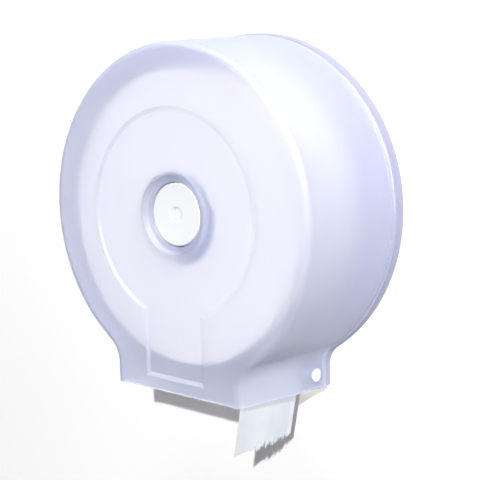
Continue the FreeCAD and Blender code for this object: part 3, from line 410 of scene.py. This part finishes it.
def wound_roll():
    """Many wraps of tissue: ridges on both ends follow the wraps, which stand back by a few tenths of
    a millimetre, and the outside swells and dips a little where the paper was wound less tight."""
    profile = roll_profile()
    # Each row is a radius, a place along the axis, and the way inward: 1, none or -1
    rows = [(radius, ROLL_FRONT + depth, 1) for radius, depth in profile]
    for row in range(1, ROLL_OUTER_ROWS + 1):
        share = row / (ROLL_OUTER_ROWS + 1)
        rows.append((ROLL_RADIUS - OUTER_RADIUS_LOSS, ROLL_FRONT + PAPER_WIDTH * share, 0))
    rows += [(radius, ROLL_BACK - depth, -1) for radius, depth in reversed(profile)]
    points = []
    for radius, y, inward in rows:
        for sector in range(ROLL_SECTORS):
            angle = 2 * math.pi * sector / ROLL_SECTORS
            reach = radius
            if inward == 0:
                reach += SWELL * sum(math.sin(waves * angle + start + twist * y) - 1
                                     for waves, start, twist in SWELL_WAVES)
            wave = abs(END_WAVE * math.sin(END_WAVES * angle + END_TWIST * radius))
            points.append((ROLL_AXIS.x + reach * math.cos(angle), y + inward * wave,
                           ROLL_AXIS.z + reach * math.sin(angle)))
    faces = []
    for row in range(len(rows)):
        here = row * ROLL_SECTORS
        beyond = (row + 1) % len(rows) * ROLL_SECTORS
        for sector in range(ROLL_SECTORS):
            turn = (sector + 1) % ROLL_SECTORS
            faces.append((here + sector, here + turn, beyond + turn, beyond + sector))
    roll = add_mesh("wound_roll", points, faces, tissue, "roll")
    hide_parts("roll_paper")


wound_roll()


# The paper's loose end

# Its corners in X and Z: on the roll's right side, two in the throat, and at the torn edge
TAIL_ROUTE = [(0.10332, -0.07468), (0.0617, -0.13535), (0.0617, -0.157), (0.0537, -0.203)]
# A bend takes this share of the shorter of the two runs that it joins
TAIL_BEND = 0.45
BEND_STEPS = 16
TAIL_COLUMNS = 220
TAIL_ROWS = 190
TISSUE_THICKNESS = 0.22 * MM
# Creases along the strip: place and width as shares of its width, and height in millimetres
CREASES = ((0.22, 0.10, 0.4), (0.47, 0.06, -0.25), (0.63, 0.03, 0.22), (0.80, 0.03, -0.25),
           (0.91, 0.014, 0.5), (0.96, 0.010, -0.4))
# They wander sideways, in waves for each metre of the strip, each crease out of step with the next
CREASE_WANDER = 0.03
WANDER_WAVES = 40
WANDER_OFFSET = 9
# Up to here the strip is taut and nearly flat, and over the next run it takes on its full creases
# and its bow
FREE_FROM = 0.085
FREE_RUN = 0.05
CREASE_HELD = 0.15
CREASE_FREE = 1.1
BOW = 1.1 * MM
BOW_WAVE = 7.5
BOW_START = 0.6
NARROWING = 0.35 * MM
# The torn edge: it slants across the strip, and past its smooth share it is torn into fibres, whose
# widths and spacings are in columns and whose lengths are in millimetres
SMOOTH_SHARE = 0.3
TEAR_START = -3.0
TEAR_SLANT = 4.0
TEAR_FUZZ = 0.12 * MM
FIBRE_WIDTHS = (1.6, 3.6)
FIBRE_LENGTHS = (-3.2, -2.0, 1.4, 2.6, 4.0)
FIBRE_SHARES = (0.6, 1.1)
FIBRE_SPACINGS = (0.6, 1.5)


def tail_line():
    """The loose end seen along its width: straight runs, turned by short smooth bends."""
    corners = [Vector((x, 0.0, z)) for x, z in TAIL_ROUTE]
    line = [corners[0]]
    for before, corner, after in zip(corners, corners[1:], corners[2:]):
        reach = TAIL_BEND * min((before - corner).length, (after - corner).length)
        start = corner + (before - corner).normalized() * reach
        end = corner + (after - corner).normalized() * reach
        for step in range(BEND_STEPS + 1):
            t = step / BEND_STEPS
            line.append(start * (1 - t) ** 2 + corner * 2 * t * (1 - t) + end * t * t)
    line.append(corners[-1])
    return line


def along(line, distance):
    """Point and direction at a distance along a line of points, straight on past its end."""
    for start, end in zip(line, line[1:]):
        run = (end - start).length
        if distance <= run or end is line[-1]:
            heading = (end - start).normalized()
            return start + heading * distance, heading
        distance -= run


def torn_edge():
    """How much longer the strip is in each column: smooth near its front, then torn into fibres."""
    rng = random.Random(7)
    tear = []
    for column in range(TAIL_COLUMNS + 1):
        slant = (TEAR_SLANT * column / TAIL_COLUMNS + TEAR_START) * MM
        tear.append(slant + rng.uniform(-TEAR_FUZZ, TEAR_FUZZ))
    place = SMOOTH_SHARE * TAIL_COLUMNS
    while place < TAIL_COLUMNS:
        wide = rng.uniform(*FIBRE_WIDTHS)
        long = rng.choice(FIBRE_LENGTHS) * rng.uniform(*FIBRE_SHARES) * MM
        for column in range(TAIL_COLUMNS + 1):
            tear[column] += long * max(0.0, 1.0 - abs(column - place) / wide)
        place += wide * rng.uniform(*FIBRE_SPACINGS)
    return tear


def creased(share, distance, free):
    """How far the strip stands out of its line, at a share of its width and a distance down it."""
    push = 0.0
    for centre, wide, high in CREASES:
        shift = centre + CREASE_WANDER * math.sin(distance * WANDER_WAVES + centre * WANDER_OFFSET)
        push += high * MM * math.exp(-((share - shift) / wide) ** 2)
    bow = BOW * free * math.sin(share * BOW_WAVE + BOW_START)
    return push * (CREASE_HELD + CREASE_FREE * free) + bow


def paper_tail():
    """A hung strip of tissue as wide as the roll, creased along its length, torn off at its end."""
    line = tail_line()
    length = sum((b - a).length for a, b in zip(line, line[1:]))
    tear = torn_edge()
    points = []
    for column in range(TAIL_COLUMNS + 1):
        share = column / TAIL_COLUMNS
        full = length + tear[column]
        for row in range(TAIL_ROWS + 1):
            distance = full * row / TAIL_ROWS
            spot, heading = along(line, distance)
            outward = Vector((heading.z, 0.0, -heading.x))
            free = min(1.0, max(0.0, (distance - FREE_FROM) / FREE_RUN))
            spot = spot + outward * creased(share, distance, free)
            y = ROLL_FRONT + PAPER_WIDTH * share - NARROWING * free * share
            points.append((spot.x, y, spot.z))
    faces = []
    for column in range(TAIL_COLUMNS):
        for row in range(TAIL_ROWS):
            here = column * (TAIL_ROWS + 1) + row
            beside = here + TAIL_ROWS + 1
            faces.append((here, here + 1, beside + 1, beside))
    tail = add_mesh("torn_paper_tail", points, faces, tail_tissue_painted_shade, "base")
    thick = tail.modifiers.new("two_plies", "SOLIDIFY")
    thick.thickness = TISSUE_THICKNESS
    thick.offset = 0.0
    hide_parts("paper_tail")


paper_tail()


# Stage

def seen_straight(tree):
    """1 for rays from the camera, also by way of gloss or clear plastic; 0 for the light on
    things."""
    ray = add_node(tree, "ShaderNodeLightPath")
    gloss = add_node(tree, "ShaderNodeMath", {
        0: ray.outputs["Is Camera Ray"], 1: ray.outputs["Is Glossy Ray"]}, operation="MAXIMUM")
    straight = add_node(tree, "ShaderNodeMath", {
        0: gloss.outputs[0], 1: ray.outputs["Is Transmission Ray"]}, operation="MAXIMUM")
    # Past a matt surface, a ray that goes through the cover lights that surface
    matt = add_node(tree, "ShaderNodeMath", {
        0: ray.outputs["Diffuse Depth"], 1: 0.5}, operation="LESS_THAN")
    return add_node(tree, "ShaderNodeMath", {
        0: straight.outputs[0], 1: matt.outputs[0]}, operation="MULTIPLY").outputs[0]


def stage_material(name, tone, bounce, glow, one_sided):
    """Plain matt paint, with a tone of its own for the light that it throws back on the things, and
    a faint glow that keeps it pale. A one-sided wall hides nothing from behind."""
    material, tree = new_material(name)
    paint = add_node(tree, "ShaderNodeBsdfDiffuse", {"Color": linear(tone)})
    dull = add_node(tree, "ShaderNodeBsdfDiffuse", {"Color": linear(bounce)})
    white = add_node(tree, "ShaderNodeEmission", {"Strength": glow})
    both = add_node(tree, "ShaderNodeAddShader", {0: paint.outputs[0], 1: white.outputs[0]})
    surface = add_node(tree, "ShaderNodeMixShader", {
        0: seen_straight(tree), 1: dull.outputs[0], 2: both.outputs[0]})
    if one_sided:
        side = add_node(tree, "ShaderNodeNewGeometry")
        clear = add_node(tree, "ShaderNodeBsdfTransparent")
        surface = add_node(tree, "ShaderNodeMixShader", {
            0: side.outputs["Backfacing"], 1: surface.outputs[0], 2: clear.outputs[0]})
    finish_material(tree, surface.outputs[0])
    return material


def stage_mesh(name, points, faces, material):
    """A mesh of the stage, which is no part of the object."""
    mesh = bpy.data.meshes.new(name)
    mesh.from_pydata(points, [], faces)
    mesh.materials.append(material)
    piece = bpy.data.objects.new(name, mesh)
    bpy.context.scene.collection.objects.link(piece)


WALL_PLACE = 0.3 * MM
WALL_LAP = 14 * MM
WALL_SECTORS = 96
STAGE_SPREAD = 2.5
FLOOR_PLACE = -0.9


def pale_wall():
    """The wall is open behind the back plate, so that light reaches the plate's back too."""
    radius = PLATE_RADIUS - WALL_LAP
    inner = []
    outer = []
    faces = []
    for sector in range(WALL_SECTORS):
        angle = 2 * math.pi * sector / WALL_SECTORS
        x, z = math.cos(angle), math.sin(angle)
        inner.append((radius * x, WALL_PLACE, radius * z))
        outer.append((STAGE_SPREAD * x, WALL_PLACE, STAGE_SPREAD * z))
        turn = (sector + 1) % WALL_SECTORS
        faces.append((sector, WALL_SECTORS + sector, WALL_SECTORS + turn, turn))
    paint = stage_material(
        "wall_paint", tone="#FCFCFB", bounce="#EEEEF4", glow=0.10, one_sided=True)
    stage_mesh("pale_wall", inner + outer, faces, paint)


def pale_floor():
    """A plain square below the object, which throws a little light back up."""
    corners = [(x * STAGE_SPREAD, y * STAGE_SPREAD, FLOOR_PLACE)
               for x, y in ((-1, -1), (1, -1), (1, 1), (-1, 1))]
    paint = stage_material(
        "floor_paint", tone="#F2F2F3", bounce="#6E6B6A", glow=0.05, one_sided=False)
    stage_mesh("pale_floor", corners, [(0, 1, 2, 3)], paint)


pale_wall()
pale_floor()

# Light

DRUM_MIDDLE = (0.0, -0.06, 0.0)
# Name, place, what it faces, size across in metres, and power in watts
LAMPS = (
    ("key_softbox", (3.18, -5.1, 2.61), DRUM_MIDDLE, 0.14, 412.0),
    ("top_softbox", (-0.1, -0.6, 1.7), DRUM_MIDDLE, 1.0, 17.0),
    ("side_softbox", (1.8, -0.5, 0.7), DRUM_MIDDLE, 1.1, 8.0),
    # Behind the wall, which lets it through: it lights the back plate's back
    ("back_softbox", (-0.6, 1.8, 0.8), (0.0, 0.0, 0.0), 1.0, 16.0),
)


def soft_lamp(name, place, target, size, power):
    """A round softbox that faces its target."""
    lamp_data = bpy.data.lights.new(name, "AREA")
    lamp_data.shape = "DISK"
    lamp_data.size = size
    lamp_data.energy = power
    lamp = bpy.data.objects.new(name, lamp_data)
    lamp.location = place
    lamp.rotation_mode = "QUATERNION"
    lamp.rotation_quaternion = (Vector(target) - Vector(place)).to_track_quat("-Z", "Y")
    bpy.context.scene.collection.objects.link(lamp)


for lamp_row in LAMPS:
    soft_lamp(*lamp_row)

# The room lights things with a faint cool tone, and is plain white where it is seen
ROOM_TONE = "#C4CCFF"
ROOM_STRENGTH = 0.06

world = bpy.data.worlds.new("pale_room")
world.use_nodes = True
room = world.node_tree
room.nodes.clear()
light = add_node(room, "ShaderNodeBackground", {
    "Color": linear(ROOM_TONE), "Strength": ROOM_STRENGTH})
plain = add_node(room, "ShaderNodeBackground", {"Color": linear("#FFFFFF"), "Strength": 1.0})
blended = add_node(room, "ShaderNodeMixShader", {
    0: seen_straight(room), 1: light.outputs[0], 2: plain.outputs[0]})
add_node(room, "ShaderNodeOutputWorld", {"Surface": blended.outputs[0]})
bpy.context.scene.world = world
